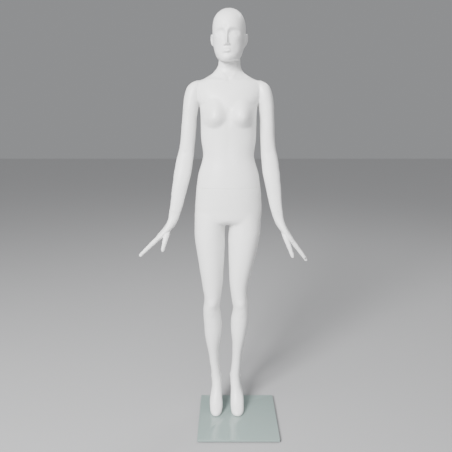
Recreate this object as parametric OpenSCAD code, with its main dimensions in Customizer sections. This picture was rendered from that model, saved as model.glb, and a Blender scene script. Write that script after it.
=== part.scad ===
// Full body shop mannequin on a glass foot plate, millimetres.
// Origin: on the floor, under the axis of the foot spigot. The figure faces -Y, +Z is up.

/* [Figure] */
// Height of the figure from the glass to the crown
figure_height = 1792; // [1490:1:2160]
// Wall thickness of the laminated fibreglass shells
wall = 3.5; // [2.5:0.5:5]
// Height of the waist seam above the glass, for a figure of the standard height
waist_z = 1056; // [1030:1:1080]
// Width over the two shoulder seams at mid height
seam_span = 254; // [244:1:262]
// Lean of the shoulder seams from upright, closer together at the armpit
seam_lean = 2.6; // [0:0.2:5]
// How far the head is turned to the figure's right
head_turn = 6; // [0:1:20]
// Flare of the right hand away from the thigh, from upright
right_hand_flare = 46; // [30:1:48]
// Flare of the left hand away from the thigh, from upright
left_hand_flare = 37; // [30:1:48]

/* [Waist fitting] */
// Thickness of the two closing boards
board_t = 12; // [9:1:18]
// Diameter of the steel waist plates
waist_plate_d = 110; // [90:1:130]
// Thickness of the steel waist plates
waist_plate_t = 3; // [2:0.5:5]
// Side of the square post that keys the torso
post_side = 24; // [16:1:30]
// Length of the square post
post_len = 70; // [50:1:90]

/* [Arm and hand fittings] */
// Diameter of the shoulder plates
shoulder_plate_d = 62; // [50:1:68]
// Diameter of the shoulder spindle
spindle_d = 16; // [12:1:20]
// Diameter of the wrist stud
wrist_stud_d = 9; // [7:0.5:11]

/* [Foot fitting and glass plate] */
// Side of the square glass plate
glass_side = 355.6; // [320:1:460]
// Thickness of the glass
glass_t = 9.5; // [8:0.5:12]
// Distance from the spigot to the back edge of the glass
spigot_back = 80; // [70:1:140]
// Height of the rubber pads under the glass
pad_t = 6; // [6:0.5:8]
// Diameter of the steel foot spigot
rod_d = 12; // [10:0.5:12.5]
// Height of the spigot above the glass
rod_len = 92; // [70:1:100]

/* [Hidden] */
$fn = 64;
s = figure_height / 1792;
glass_top = pad_t + glass_t;
mid_x = -43;          // centre line of the torso, from the spigot
head_x = -40;         // centre line of the head
neck_z = 1546;        // bond between neck and head
crotch_z = 893;
crotch_x = -48;
oval_z = [1401, 1508];  // lower and upper end of the shoulder seam
oval_depth = 46;        // half depth of the shoulder seam
wrist_z = 951;
wrist_tilt = 12;
fit = 0.3;              // gap between pieces that lift or turn apart
socket_z = 40;          // lower end of the socket tube in the left foot
socket_len = 66;
lock_z = 62;            // height of the grub screw that locks the spigot
shell_white = [0.93, 0.93, 0.92];
steel = [0.62, 0.63, 0.65];
zinc = [0.72, 0.72, 0.70];

// ---- stations: [height, centre x, half width to -x, half width to +x, widest y, front y, back y]

// torso from the waist seam to the neck; the shoulder width comes from the seam oval
TORSO = [
  [1030, 0, 143, 143,  6, -91, 108], [1057, 0, 140, 140,  3, -91,  99],
  [1083, 0, 136, 136,  0, -90,  91], [1109, 0, 132, 132,  0, -88,  84],
  [1136, 0, 124, 124, -1, -86,  78], [1162, 0, 116, 116, -2, -83,  74],
  [1188, 0, 110, 110, -2, -81,  72], [1213, 0, 111, 111, -1, -80,  73],
  [1239, 0, 115, 115,  0, -80,  76], [1264, 0, 118, 118,  2, -81,  80],
  [1315, 0, 119, 119,  6, -85,  88], [1365, 0, 120, 120, 10, -86,  96],
  [1391, 0, 123, 123, 14, -83,  99], [1415, 0, 125, 125, 17, -76, 101],
  [1440, 0, 126, 126, 20, -68, 102], [1465, 0, 127, 127, 23, -58, 101],
  [1490, 0, 128, 128, 26, -45,  96], [1502, 0, 129, 129, 28, -36,  91],
  [1508, 0, 129, 129, 29, -31,  88], [1514, 0, 112, 112, 30, -27,  86],
  [1525, 0,  88,  88, 31, -21,  82], [1536, 0,  70,  70, 31, -17,  78],
  [1546, 0,  60,  60, 30, -16,  74], [1556, 0,  53,  53, 28, -16,  70]];

// pelvis from the waist seam down to the crotch
PELVIS = [
  [ 870, 0, 151, 151, 14, -80, 104], [ 895, 0, 150, 150, 15, -82, 113],
  [ 922, 0, 150, 150, 15, -85, 122], [ 950, 0, 149, 149, 15, -87, 126],
  [ 976, 0, 148, 148, 13, -89, 124], [1003, 0, 145, 145, 10, -90, 117],
  [1030, 0, 143, 143,  6, -91, 108], [1057, 0, 140, 140,  3, -91,  99],
  [1083, 0, 136, 136,  0, -90,  91]];

// right and left leg, centre x measured from the spigot: [height, right x, right half, left x, left half]
LEG_X = [
  [  0, -100, 22,   0, 23], [ 12, -100, 28,   0, 30], [ 30, -100, 30,  -1, 31],
  [ 50, -101, 29,  -1, 31], [ 75,  -99, 26,  -3, 28], [ 92,  -98, 24,  -6, 25],
  [118,  -99, 23,  -9, 24], [149, -102, 22, -10, 23], [181, -105, 21,  -7, 22],
  [212, -109, 22,  -4, 22], [255, -112, 24,  -1, 23], [285, -114, 27,   1, 25],
  [316, -115, 32,   4, 28], [348, -115, 37,   6, 33], [378, -115, 40,   7, 37],
  [409, -115, 41,   9, 40], [439, -117, 41,  11, 41], [469, -119, 40,  14, 39],
  [499, -121, 37,  15, 36], [527, -117, 37,  12, 38], [557, -115, 39,   8, 38],
  [585, -116, 43,   6, 40], [615, -116, 47,   6, 43], [643, -117, 50,   8, 47],
  [672, -119, 53,  11, 51], [700, -120, 56,  14, 55], [728, -121, 59,  17, 59],
  [757, -123, 62,  20, 63], [784, -124, 65,  23, 66], [812, -126, 67,  25, 69],
  [840, -127, 68,  28, 71], [867, -127, 69,  31, 72], [893, -126, 71,  31, 73]];

// both legs and feet, side view: [height, widest y, front y, back y]
LEG_Y = [
  [  0, -66, -101, -42], [  6, -64, -108, -34], [ 14, -60, -108, -23], [ 24, -54, -98, -10],
  [ 36, -46, -82,   6], [ 48, -36, -69,  21], [ 60, -26, -59,  37], [ 70, -16, -51,  51],
  [ 78, -10, -45,  66], [ 84,  -4, -41,  80], [ 91,   0, -37,  87], [104,   6, -30,  89],
  [118,  12, -24,  83], [134,  16, -18,  71], [149,  18, -15,  59], [165,  19, -14,  51],
  [181,  20, -14,  47], [212,  19, -15,  45], [255,  18, -21,  46], [285,  16, -27,  49],
  [316,  14, -34,  53], [348,  12, -41,  58], [378,  10, -46,  62], [409,   8, -50,  63],
  [439,   4, -54,  59], [469,  -2, -58,  51], [499,  -6, -65,  44], [527,  -8, -70,  42],
  [557,  -9, -70,  45], [585,  -9, -71,  49], [615,  -8, -73,  54], [672,  -4, -77,  64],
  [728,   0, -80,  76], [784,   5, -82,  88], [840,   8, -82,  99], [867,  11, -81, 105],
  [893,  14, -80, 110]];

// head from the neck bond to the crown
HEAD = [
  [1546, 0, 60, 60, 30, -16, 74], [1556, 0, 53, 53, 28, -16, 70], [1566, 0, 49, 49, 26, -18, 67],
  [1576, 0, 47, 47, 24, -19, 66], [1582, 0, 46, 46, 18, -40, 66], [1587, 0, 46, 46,  9, -64, 66],
  [1593, 0, 46, 46,  2, -79, 67], [1602, 0, 48, 48,  0, -85, 70],
  [1618, 0, 54, 54,  1, -88, 76], [1634, 0, 60, 60,  2, -88, 83], [1657, 0, 65, 65,  4, -89, 91],
  [1681, 0, 67, 67,  6, -89, 97], [1704, 0, 68, 68,  8, -91, 100], [1728, 0, 67, 67, 10, -87, 100],
  [1751, 0, 61, 61, 11, -75, 92], [1764, 0, 54, 54, 12, -62, 83], [1776, 0, 43, 43, 13, -44, 68],
  [1785, 0, 30, 30, 14, -25, 50], [1791, 0, 14, 14, 14,  -4, 30]];

// arm below the shoulder, seen as a left arm:
// [height, inner x, outer x, front y, back y], x from the torso centre line
ARM = [
  [ 951, 189, 237, -48, -14], [ 977, 181, 234, -46,  -6], [1004, 175, 232, -44,   1],
  [1030, 169, 231, -42,   8], [1057, 163, 229, -41,  14], [1083, 157, 226, -39,  20],
  [1109, 151, 225, -36,  26], [1136, 147, 221, -32,  32], [1162, 145, 218, -29,  36],
  [1188, 142, 213, -26,  40], [1213, 141, 207, -24,  43], [1264, 138, 201, -24,  50],
  [1315, 136, 199, -26,  58], [1353, 135, 197, -27,  64], [1378, 132, 196, -29,  68],
  [1401, 125, 195, -30,  72], [1420, 127, 193, -30,  75], [1440, 127, 190, -30,  76],
  [1465, 127, 183, -27,  75], [1478, 127, 178, -23,  72], [1490, 127, 168, -17,  67],
  [1500, 127, 154,  -6,  59], [1507, 127, 136,  12,  46]];
// how much further each arm stands out per millimetre below the armpit
right_splay = 0.048;
left_splay = 0;

// hand along its own axis: [distance from the wrist seam, half thickness, front y, back y]
HAND = [
  [  0, 24.4, -48, -14], [ 20, 23, -49, -13], [ 40, 22, -52, -10], [ 60, 22, -57, -4],
  [ 80, 21, -64, 4], [100, 19, -70, 10], [120, 17, -73, 13], [145, 15, -72, 13],
  [170, 13.5, -69, 11], [200, 11.5, -65, 7], [230, 10, -60, 2], [246, 8.5, -55, -6],
  [257, 6, -50, -14], [265, 3, -44, -20]];
// thumb along its own axis: [distance from its root, half thickness]
THUMB = [[0, 8], [20, 13], [45, 12.5], [70, 10.5], [95, 9], [115, 8], [124, 5.5], [128, 2]];

// ---- smooth tables, rings and skins

function seg(t, z, i = 0) = i >= len(t) - 2 || z < t[i + 1][0] ? i : seg(t, z, i + 1);
function slope(t, i) = let(a = max(i - 1, 0), b = min(i + 1, len(t) - 1))
  (t[b] - t[a]) / (t[b][0] - t[a][0]);
function at(t, z) = let(i = seg(t, z), h = t[i + 1][0] - t[i][0], u = (z - t[i][0]) / h)
  (2*u^3 - 3*u^2 + 1) * t[i] + (u^3 - 2*u^2 + u) * h * slope(t, i)
  + (3*u^2 - 2*u^3) * t[i + 1] + (u^3 - u^2) * h * slope(t, i + 1);
function sgnpow(v, e) = sign(v) * pow(abs(v), e);
function bump(u, v) = let(r = u*u + v*v) r >= 1 ? 0 : (1 - r) * (1 - r);
function steps(a, b, n) = [for (i = [0:n]) a + (b - a) * i / n];

// a section [z, cx, left, right, widest y, front, back] made smaller all round by w
function shrink(lo, r, hi, w) = w == 0 ? r :
  [r[0], r[1], min(lo[2], r[2], hi[2]) - w, min(lo[3], r[3], hi[3]) - w, r[4],
   max(lo[5], r[5], hi[5]) + w, min(lo[6], r[6], hi[6]) - w];
function section(t, z, w) = let(d = w * 0.8, a = t[0][0], b = t[len(t) - 1][0])
  shrink(at(t, max(a, z - d)), at(t, z), at(t, min(b, z + d)), w);
// one ring point at angle a of section r, squareness p
function ringpoint(r, a, p) = [
  r[1] + (cos(a) < 0 ? r[2] : r[3]) * sgnpow(cos(a), 2 / p),
  r[4] + (sin(a) < 0 ? r[4] - r[5] : r[6] - r[4]) * sgnpow(sin(a), 2 / p), r[0]];

function strip(a, b, flip = false) = let(n = len(a)) [for (i = [0:n - 1], k = [0, 1])
  let(j = (i + 1) % n, f = k == 0 ? [a[i], a[j], b[j]] : [a[i], b[j], b[i]])
  flip ? [f[2], f[1], f[0]] : f];
function fan(a, c, flip = false) = let(n = len(a)) [for (i = [0:n - 1])
  let(j = (i + 1) % n) flip ? [c, a[j], a[i]] : [c, a[i], a[j]]];
function idx(start, n) = [for (i = [0:n - 1]) start + i];
function mean(r) = [for (k = [0:2]) [for (p = r) p[k]] * [for (p = r) 1] / len(r)];

// closed skin over a run of rings; loop joins the last ring to the first, else both ends are capped
module skin(rings, loop = false) {
  n = len(rings[0]);
  m = len(rings);
  pts = concat([for (r = rings) each r], loop ? [] : [mean(rings[0]), mean(rings[m - 1])]);
  side = [for (k = [0:m - (loop ? 1 : 2)])
    each strip(idx(k * n, n), idx(((k + 1) % m) * n, n), true)];
  caps = loop ? [] : concat(fan(idx(0, n), m * n, false), fan(idx((m - 1) * n, n), m * n + 1, true));
  scale(s) polyhedron(points = pts, faces = concat(side, caps), convexity = 8);
}

module at_glass() { translate([0, 0, glass_top]) children(); }

// ---- body shells

function seam_x(z) = seam_span / 2 + (z - (oval_z[0] + oval_z[1]) / 2) * tan(seam_lean);
// half depth of the flat shoulder face at height z
function flat(z) = let(u = (2*z - oval_z[0] - oval_z[1]) / (oval_z[1] - oval_z[0]))
  abs(u) >= 1 ? 0 : oval_depth * sqrt(1 - u*u);

// angles round a ring of four quarters; the second number is the side of the straights
function turns(q) = [for (i = [0:q]) [-90 + 90*i/q, -1], for (i = [0:q]) [90*i/q, 1],
                     for (i = [1:q]) [90 + 90*i/q, 1], for (i = [0:q - 1]) [180 + 90*i/q, -1]];
// ring with a short straight of half length fl on the -x side and fr on the +x side
function dring(x0, left, right, ym, yf, yb, fl, fr, p, q, z) = [for (t = turns(q))
  let(c = cos(t[0]), d = abs(sin(t[0])), k = t[1], e = ym + k * max(0.4, c < -0.001 ? fl : fr))
  [x0 + (c < 0 ? left : right) * sgnpow(c, 2 / p),
   k < 0 ? e - (e - yf) * pow(d, 2 / p) : e + (yb - e) * pow(d, 2 / p), z]];

// two breasts and the navel, added to the front of the torso
function bust(x, z) = let(a = (abs(x) - 63) / 54, d = (z - 1352) / (z > 1352 ? 78 : 47))
  31 * pow(max(0, 1 - a*a - d*d), 1.4) - 3 * bump(x / 7, (z - 1128) / 12);
function torso_ring(z, w, zs) = let(r = section(TORSO, zs, w), f = flat(zs) - w,
    hw = zs > oval_z[0] && zs < oval_z[1] ? seam_x(zs) - w : zs > 1380 ? min(r[2], seam_x(zs) - w) : r[2])
  [for (p = dring(mid_x, hw, hw, r[4], r[5], r[6], f, f, 2.2, 9, z))
    [p[0], p[1] < r[4] ? p[1] - bust(p[0] - mid_x, z) : p[1], z]];
module torso_blank() {
  out = concat([for (z = steps(waist_z + fit, 1280, 10)) torso_ring(z, 0, z)],
               [for (z = [1300, 1311, 1322, 1334, 1346, 1358, 1370, 1385]) torso_ring(z, 0, z)],
               [for (z = [1401, 1416, 1432, 1448, 1464, 1478, 1490, 1500, 1508, 1514, 1525, 1536,
                          neck_z]) torso_ring(z, 0, z)]);
  in = concat([for (z = [neck_z, 1534, 1520, 1512, 1500, 1490, 1474, 1454, 1434, 1416, 1401])
                 torso_ring(z, wall, z)],
              [for (z = steps(1375, waist_z + board_t / s + 12, 8)) torso_ring(z, wall, z)],
              [for (z = [waist_z + board_t / s + fit, waist_z + fit]) torso_ring(z, wall, waist_z)]);
  skin(concat(out, in), loop = true);
}
module torso_shell() {
  color(shell_white) at_glass() difference() {
    torso_blank();
    for (k = [-1, 1]) at_shoulder(k) {
      translate([0, 0, -9]) cylinder(d = spindle_d + 6, h = 12);
      plate_holes(-9, 12);
    }
  }
}

// face: nose, brow, eye hollows, lips, chin; x and z measured from the middle of the face
function face(x, z) = 13 * bump(x / 14, (z - 1652) / 14) + 8 * bump(x / 11, (z - 1668) / 30)
  + 3 * bump(x / 50, (z - 1707) / 13) - 6 * bump((abs(x) - 28) / 22, (z - 1689) / 16)
  + 4 * bump(x / 20, (z - 1635) / 6) + 5 * bump(x / 18, (z - 1625) / 6) + 5 * bump(x / 24, (z - 1604) / 12);
function ear(y, z) = 11 * bump((y - 14 - (z - 1668) * 0.2) / 17, (z - 1662) / 34);
function turn(p, a) = let(c = [head_x, 15]) [c[0] + (p[0] - c[0]) * cos(a) - (p[1] - c[1]) * sin(a),
                                             c[1] + (p[0] - c[0]) * sin(a) + (p[1] - c[1]) * cos(a), p[2]];
function head_ring(z, w) = let(r = section(HEAD, z, w),
    x0 = head_x + (mid_x - head_x) * max(0, min(1, (1585 - z) / 40)),
    a = -head_turn * max(0, min(1, (z - neck_z) / 30)),
    drop = 0.15 * max(0, min(1, (z - neck_z) / 30)) * max(0, min(1, (1720 - z) / 120)))
  [for (p = dring(x0, r[2], r[3], r[4], r[5], r[6], 0, 0, 2.2, 9, z)) let(dx = p[0] - x0)
    turn([p[0] + (w == 0 ? sign(dx) * (abs(dx) > 20 ? ear(p[1], z) : 0) : 0),
          p[1] < r[4] ? p[1] - (w == 0 ? face(dx, z) : 0) : p[1], z + drop * (p[1] - 30)], a)];
module head_shell() {
  out = [for (z = [neck_z, 1556, 1564, 1570, 1576, 1582, 1588, 1594, 1600, 1606, 1612, 1620, 1628, 1638, 1648, 1658,
                   1668, 1678, 1690, 1704, 1722, 1740, 1754, 1766, 1776, 1784, 1789.5, 1792])
         head_ring(z, 0)];
  in = [for (z = [1788, 1782, 1770, 1750, 1725, 1700, 1670, 1640, 1612, 1596, 1586, 1578, 1570, 1560, neck_z])
        head_ring(z, wall)];
  color(shell_white) at_glass() skin(concat(in, out));
}

// right or left arm; side is -1 for the figure's right, on the -x side
function splay(side) = side < 0 ? right_splay : left_splay;
function arm_ring(z, w, zs, side) = let(r = at(ARM, zs), lo = at(ARM, max(wrist_z, zs - w)),
    hi = at(ARM, min(1507, zs + w)), on = zs >= oval_z[0], ym = on ? at(TORSO, zs)[4] : (r[3] + r[4]) / 2,
    sh = max(0, oval_z[0] - zs) * splay(side), xi = (on ? seam_x(zs) + fit : r[1]) + sh + w,
    xo = (w == 0 ? r[2] : min(lo[2], r[2], hi[2])) + sh - w, x0 = xi + (xo - xi) * 0.45,
    yf = w == 0 ? r[3] : max(lo[3], r[3], hi[3]) + w, yb = w == 0 ? r[4] : min(lo[4], r[4], hi[4]) - w,
    tilt = wrist_tilt * max(0, min(1, (1136 - zs) / (1136 - wrist_z))))
  [for (p = dring(x0, x0 - xi, xo - x0, ym, yf, yb, flat(zs) - w, 0, 2.1, 6, z))
    [p[0] - (z - zs) * tan(tilt), p[1], z + (p[0] - (xi + xo) / 2) * tan(tilt)]];
module on_side(side) {
  translate([s * mid_x, 0, 0]) if (side > 0) children(); else mirror([1, 0, 0]) children();
}
module arm_blank(side) {
  in = concat([for (z = [1497, 1488, 1472, 1452, 1430, 1412, 1398]) arm_ring(z, wall, z, side)],
              [for (z = steps(1375, 985, 10)) arm_ring(z, wall, z, side)],
              [for (z = [wrist_z + 16 * cos(wrist_tilt), wrist_z]) arm_ring(z, wall, wrist_z, side)]);
  out = concat([for (z = steps(wrist_z, 1378, 16)) arm_ring(z, 0, z, side)],
               [for (z = [1401, 1411, 1424, 1440, 1456, 1470, 1482, 1492, 1500, 1507])
                 arm_ring(z, 0, z, side)]);
  skin(concat(in, out));
}
module arm_shell(side) {
  color(shell_white) at_glass() difference() {
    on_side(side) arm_blank(side);
    at_shoulder(side) {
      translate([0, 0, -3]) cylinder(d = spindle_d + 6, h = 12);
      plate_holes(-3, 12);
    }
  }
}

// the hand: palm and fingers laid together in one blade, and the thumb in front
function flare(side) = side < 0 ? right_hand_flare : left_hand_flare;
function hand_angle(t, side) = let(u = min(1, t / 115)) wrist_tilt
  + (flare(side) - wrist_tilt) * u * u * (3 - 2*u);
function wrist_mid(side) = [(ARM[0][1] + ARM[0][2]) / 2 + (oval_z[0] - wrist_z) * splay(side), wrist_z];
// walks from the wrist in 2 mm steps to the distance t
function hand_at(t, side, p = [0, 0], d = 0) = d >= t - 0.01 ? p : let(k = min(2, t - d), a = hand_angle(d, side))
  hand_at(t, side, p + k * [sin(a), -cos(a)], d + k);
function hand_ring(t, side) = let(r = at(HAND, t), c = wrist_mid(side) + hand_at(t, side),
    a = hand_angle(t, side), g = t > 165 ? 1.6 : 0)
  [for (p = dring(0, r[1], r[1], (r[2] + r[3]) / 2, r[2], r[3], 0, 0, 2.2, 6, 0))
    let(u = p[0] - sign(p[0]) * g * (1 - abs(sin(180 * 4 * (p[1] - r[2]) / (r[3] - r[2])))))
    [c[0] + u * cos(a), p[1], c[1] + u * sin(a) - (fit + 0.1) * (t == 0 ? 1 : 0)]];
function thumb_ring(t, side) = let(h = at(THUMB, t)[1], lean = side < 0 ? 14 : 20,
    c = wrist_mid(side) + hand_at(86, side) + [sin(lean), -cos(lean)] * t * (side < 0 ? 0.76 : 1) + [-1, 0] * 4,
    y = -46 - 34 * sin(min(90, t * 0.75)))
  [for (p = dring(0, h * 0.92, h * 0.92, y, y - h, y + h, 0, 0, 2, 3, 0))
    [c[0] + p[0] * cos(lean), p[1], c[1] + p[0] * sin(lean)]];
module hand(side) {
  color(shell_white) at_glass() difference() {
    on_side(side) {
      skin([for (t = [265, 260, 252, 243, 230, 212, 194, 176, 160, 145, 128, 110, 92, 74, 56, 38, 20, 0])
            hand_ring(t, side)]);
      skin([for (t = [128, 124, 115, 100, 84, 68, 50, 32, 14, 2]) thumb_ring(t, side)]);
    }
    at_wrist(side) cylinder(d = wrist_stud_d, h = 44, center = true);
  }
}

// ---- pelvis and both legs in one skin: the pelvis ring splits at the crotch into two leg rings

half = 16;   // steps over half a pelvis ring, and over the outside of a leg
inner = 6;   // steps over the inside of a leg and along the crotch
foot_top = 158;  // the shells are filled solid below this height
function ramp(u) = let(v = max(0, min(1, u))) v * v * (3 - 2*v);
function pelvis_ring(z, w, zs) = let(r = section(PELVIS, zs, w), x0 = mid_x + (crotch_x - mid_x) * ramp((950 - z) / 60))
  [for (i = [0:2 * half - 1]) let(p = ringpoint([z, x0, r[2], r[3], r[4], r[5], r[6]], -90 + 180 * i / half,
                      2.3 + 0.9 * ramp((990 - z) / 90)),
      d = (p[0] - x0) / 30)
    [p[0], p[1] + (p[1] < r[4] ? 1 : -1) * (p[1] < r[4] ? 34 * ramp((crotch_z + 30 - z) / 30)
                                            : 44 * ramp((crotch_z + 90 - z) / 90)) * bump(d, 0), p[2]]];
// side 1 is the left leg, on the +x side
function leg_ring(z, w, side) = let(x = at(LEG_X, z), y = at(LEG_Y, z), near = ramp((z - 800) / 90),
    lx = side > 0 ? [x[3], x[4]] : [x[1], x[2]])
  [for (i = [0:half + inner - 1])
    let(a = i <= half ? -150 + 300 * i / half : 150 + 60 * (i - half) / inner,
        q = ringpoint([z, 0, lx[1] - w, lx[1] - w, y[1], y[2] + w, y[3] - w], side > 0 ? a : a + 180, 2.15))
    [lx[0] + q[0], q[1], z]];
function crotch_arc(w) = let(f = pelvis_ring(crotch_z + w, w, crotch_z)[0],
    b = pelvis_ring(crotch_z + w, w, crotch_z)[half])
  [for (i = [1:inner - 1]) let(u = i / inner) [f[0] + (b[0] - f[0]) * u, f[1] + (b[1] - f[1]) * u,
                                              crotch_z + w - 7 * sin(180 * u)]];
// all points of the skin: pelvis rings from the top, the crotch, left leg rings, right leg rings
function legs_points(w, tops, levels) = concat(
  [for (t = tops) each pelvis_ring(t[0], w, t[1])], crotch_arc(w),
  [for (z = levels) each leg_ring(z, w, 1)], [for (z = levels) each leg_ring(z, w, -1)],
  [for (k = [1, -1]) mean(leg_ring(levels[len(levels) - 1], w, k))]);
function legs_faces(o, tops, levels, flip) = let(np = 2 * half, nl = half + inner, m = len(tops),
    q = len(levels), last = o + (m - 1) * np, arc = o + m * np, l0 = arc + inner - 1, r0 = l0 + q * nl,
    end = r0 + q * nl,
    // leg rings start at the front (left leg) and at the back (right leg), both turning the same way
    left = concat([for (i = [0:half]) last + i], [for (i = [inner - 2:-1:0]) arc + i]),
    right = concat([for (i = [half:2 * half]) last + i % np], [for (i = [0:inner - 2]) arc + i]))
  concat([for (k = [0:m - 2]) each strip(idx(o + k * np, np), idx(o + (k + 1) * np, np), flip)],
         strip(left, idx(l0, nl), flip), strip(right, idx(r0, nl), flip),
         [for (k = [0:q - 2]) each strip(idx(l0 + k * nl, nl), idx(l0 + (k + 1) * nl, nl), flip)],
         [for (k = [0:q - 2]) each strip(idx(r0 + k * nl, nl), idx(r0 + (k + 1) * nl, nl), flip)],
         fan(idx(l0 + (q - 1) * nl, nl), end, flip), fan(idx(r0 + (q - 1) * nl, nl), end + 1, flip));
module lower_blank() {
  tops = [for (z = [waist_z, 1030, 1004, 978, 954, 932, 914, 902, crotch_z]) [z, z]];
  in_tops = concat([[waist_z, waist_z], [waist_z - board_t / s, waist_z]],
                   [for (z = [waist_z - board_t / s - 14, 1000, 970, 940, 916]) [z, z]],
                   [[crotch_z + wall, crotch_z]]);
  levels = concat([878], steps(850, 210, 22), [180, 162, 146, 132, 120, 110, 101, 93, 86, 79, 71, 62, 52,
                                               42, 32, 22, 13, 6, fit]);
  in_levels = concat([878], steps(846, foot_top + 40, 13), [foot_top]);
  outer = legs_points(0, tops, levels);
  faces_out = legs_faces(0, tops, levels, false);
  inside = legs_points(wall, in_tops, in_levels);
  faces_in = legs_faces(len(outer), in_tops, in_levels, true);
  rim = strip(idx(0, 2 * half), idx(len(outer), 2 * half), true);
  scale(s) polyhedron(points = concat(outer, inside), faces = concat(faces_out, faces_in, rim), convexity = 10);
}
module lower_shell() {
  color(shell_white) at_glass() difference() {
    lower_blank();
    cylinder(d = rod_d + 1, h = 60);
    translate([0, 0, socket_z]) cylinder(d = rod_d + 5, h = socket_len);
    lock_bore(6);
  }
}
module lock_bore(d) {
  translate([0, rod_d / 2 + 0.2, lock_z]) rotate([-90, 0, 0]) cylinder(d = d, h = 60);
}

// ---- closing boards and the waist fitting

function flatten(r) = [for (p = r) [p[0], p[1]]];
module board(ring) { linear_extrude(board_t) scale(s) polygon(flatten(ring)); }
module at_plate() { translate([s * mid_x, 0, 0]) children(); }
module four(r) { for (a = [45:90:315]) rotate([0, 0, a]) translate([r, 0, 0]) children(); }
// countersunk wood screw, head up at z = 0
module screw(len) {
  translate([0, 0, -2]) cylinder(d1 = 4, d2 = 8, h = 2);
  translate([0, 0, -len]) cylinder(d = 4, h = len - 2);
}
module torso_board() {
  z = s * waist_z + fit;
  color([0.66, 0.52, 0.36]) at_glass() difference() {
    translate([0, 0, z]) board(torso_ring(0, wall, waist_z));
    at_plate() {
      translate([0, 0, z - 1]) cylinder(d = waist_plate_d, h = waist_plate_t + 1);
      translate([0, 0, z]) four(waist_plate_d * 0.38) mirror([0, 0, 1]) screw(waist_plate_t + 8);
    }
  }
}
module hip_board() {
  z = s * waist_z;
  color([0.66, 0.52, 0.36]) at_glass() difference() {
    translate([0, 0, z - board_t]) board(pelvis_ring(waist_z, wall, waist_z));
    at_plate() {
      translate([0, 0, z - waist_plate_t]) cylinder(d = waist_plate_d, h = waist_plate_t + 1);
      translate([0, 0, z - board_t - 1]) cube_on(post_side + 6.6, board_t + 2);
      translate([0, 0, z]) four(waist_plate_d * 0.38) screw(waist_plate_t + 8);
    }
  }
}
module cube_on(a, h) { translate([-a / 2, -a / 2, 0]) cube([a, a, h]); }
module waist_post_plate() {
  z = s * waist_z + fit;
  color(steel) at_glass() at_plate() difference() {
    union() {
      translate([0, 0, z]) cylinder(d = waist_plate_d, h = waist_plate_t);
      translate([0, 0, z - post_len]) cube_on(post_side, post_len + 0.5);
    }
    translate([0, 0, z]) four(waist_plate_d * 0.38) mirror([0, 0, 1]) screw(waist_plate_t + 8);
    translate([0, 0, z - post_len - 1]) cube_on(post_side - 5, post_len - 1);
  }
}
module waist_socket() {
  z = s * waist_z;
  a = post_side + 2 * fit;
  color(steel) at_glass() at_plate() difference() {
    union() {
      translate([0, 0, z - waist_plate_t]) cylinder(d = waist_plate_d, h = waist_plate_t);
      translate([0, 0, z - post_len - 4]) cube_on(a + 6, post_len + 3);
    }
    translate([0, 0, z - post_len - 2]) cube_on(a, post_len + 3);
    translate([0, 0, z]) four(waist_plate_d * 0.38) screw(waist_plate_t + 8);
  }
}
module torso_plate_screws() {
  color(zinc) at_glass() at_plate() translate([0, 0, s * waist_z + fit])
    four(waist_plate_d * 0.38) mirror([0, 0, 1]) screw(waist_plate_t + 8);
}
module hip_plate_screws() {
  color(zinc) at_glass() at_plate() translate([0, 0, s * waist_z])
    four(waist_plate_d * 0.38) screw(waist_plate_t + 8);
}

// ---- shoulders: z runs out through the seam, zero on the torso's face
oval_mid = [seam_span / 2, at(TORSO, (oval_z[0] + oval_z[1]) / 2)[4], (oval_z[0] + oval_z[1]) / 2];
module at_shoulder(side) {
  on_side(side) translate(s * oval_mid) rotate([0, 90 + seam_lean, 0]) children();
}
module plate_holes(z, h) {
  four(shoulder_plate_d * 0.37) translate([0, 0, z]) cylinder(d = 4, h = h);
}
function skin_t() = s * wall / cos(seam_lean);
module shoulder_socket(side) {
  t = skin_t();
  color(steel) at_glass() at_shoulder(side) difference() {
    union() {
      translate([0, 0, -t - 3]) cylinder(d = shoulder_plate_d, h = 3);
      translate([0, 0, -t - 26]) cylinder(d = spindle_d + 9, h = 24);
    }
    translate([0, 0, -t - 24]) cylinder(d = spindle_d + 0.15, h = 30);
    plate_holes(-t - 4, 6);
  }
}
module shoulder_bolt(t) {
  translate([0, 0, -t - 5]) cylinder(d = 4, h = t + 5 - 0.8);
}
module shoulder_screws() {
  color(zinc) at_glass() for (k = [-1, 1]) at_shoulder(k)
    four(shoulder_plate_d * 0.37) shoulder_bolt(skin_t());
}

module arm_spindle(side) {
  t = skin_t();
  color(steel) at_glass() at_shoulder(side) difference() {
    union() {
      translate([0, 0, fit + t]) cylinder(d = shoulder_plate_d, h = 3);
      translate([0, 0, -t - 21]) cylinder(d = spindle_d, h = fit + 2*t + 22);
    }
    plate_holes(fit + t - 1, 6);
  }
}
module arm_screws(side) {
  color(zinc) at_glass() at_shoulder(side)
    four(shoulder_plate_d * 0.37) translate([0, 0, fit + 0.8]) cylinder(d = 4, h = skin_t() + 4);
}

// ---- wrists: z runs up the forearm, zero on the seam
module at_wrist(side) {
  on_side(side) translate(s * [wrist_mid(side)[0], (ARM[0][3] + ARM[0][4]) / 2, wrist_z])
    rotate([0, -wrist_tilt, 0]) children();
}
module wrist_plug(side) {
  r = arm_ring(wrist_z, wall, wrist_z, side);
  c = wrist_mid(side)[0];
  y = (ARM[0][3] + ARM[0][4]) / 2;
  color([0.66, 0.52, 0.36]) at_glass() difference() {
    at_wrist(side) linear_extrude(s * 16)
      polygon([for (p = r) s * [(p[0] - c) / cos(wrist_tilt), p[1] - y]]);
    at_wrist(side) translate([0, 0, -1]) cylinder(d = wrist_stud_d + 0.15, h = 16);
  }
}
module wrist_stud(side) {
  color(steel) at_glass() at_wrist(side) translate([0, 0, -22]) cylinder(d = wrist_stud_d, h = 35);
}

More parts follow.
